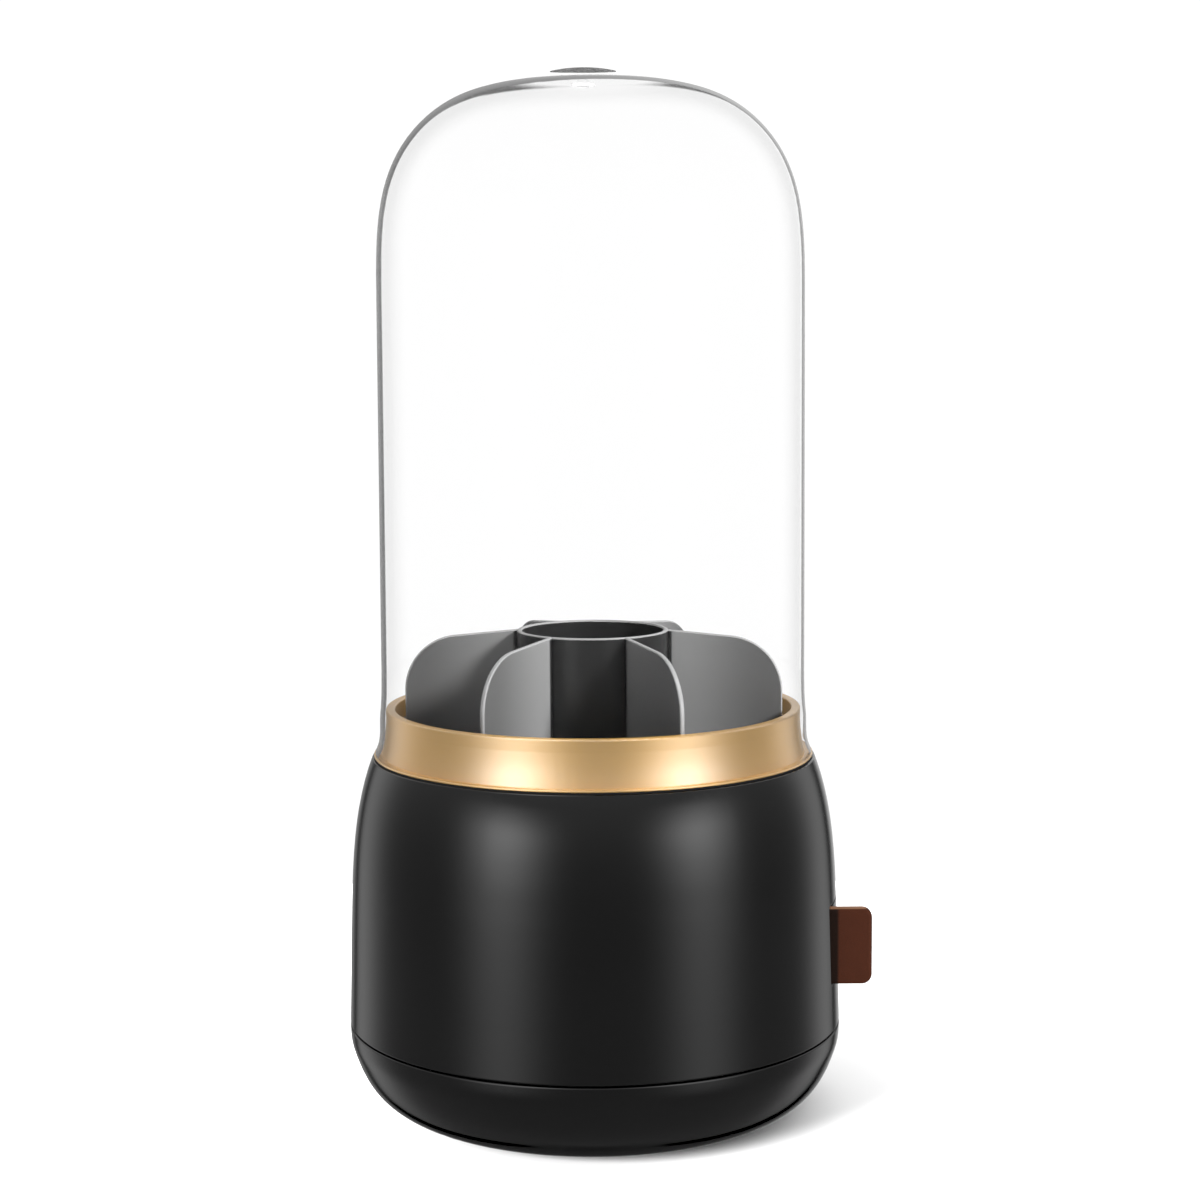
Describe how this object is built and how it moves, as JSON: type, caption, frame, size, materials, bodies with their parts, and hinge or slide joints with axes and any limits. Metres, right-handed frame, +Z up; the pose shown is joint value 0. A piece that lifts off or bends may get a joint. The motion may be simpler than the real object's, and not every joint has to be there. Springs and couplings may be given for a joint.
{
  "type": "cutlery organizer",
  "caption": "Countertop cutlery organizer: black round body with gold collar, lift-out divider with bays, clear lift-off dome and pull-out drip drawer.",
  "frame": {"origin": "on the tabletop, on the axis of the round body", "axes": "+Z up along the axis, -Y to the front, +X out of the drip drawer"},
  "size_m": [0.1579, 0.15, 0.3151],
  "materials": {
    "body_black": "satin black lacquer",
    "rubber_black": "matt",
    "steel": "zinc plated",
    "liner_black": "fine moulded texture",
    "gold": "satin champagne gold",
    "tray_black": "satin",
    "tab_brown": "smooth brown, sealed edges",
    "divider_grey": "gloss dark grey",
    "clear": "clear polished plastic",
    "clear_soft": "clear soft plastic",
    "knob_grey": "satin dark grey"
  },
  "bodies": {
    "housing": {"base_bowl": "body_black", "foot_pad": "rubber_black", "base_screws": "steel", "body_shell": "body_black", "seat_gasket": "rubber_black", "inner_liner": "liner_black", "collar_ring": "gold", "drawer_channel": "liner_black", "channel_screws": "steel"},
    "drawer": {"drip_tray": "tray_black", "drawer_front": "body_black", "pull_tab": "tab_brown", "front_screws": "steel"},
    "insert": {"drain_floor": "divider_grey", "divider": "divider_grey", "hub_screws": "steel"},
    "lid": {"dome_cover": "clear", "knob_pad": "clear_soft", "lid_knob": "knob_grey", "knob_clip": "clear_soft"}
  },
  "joints": [
    {"name": "lid_lift", "type": "slide", "parent": "housing", "child": "lid", "axis": [0, 0, 1], "range_m": [0, 0.18]},
    {"name": "insert_lift", "type": "slide", "parent": "housing", "child": "insert", "axis": [0, 0, 1], "range_m": [0, 0.06]},
    {"name": "drawer_slide", "type": "slide", "parent": "housing", "child": "drawer", "axis": [1, 0, 0], "range_m": [0, 0.125]}
  ]
}
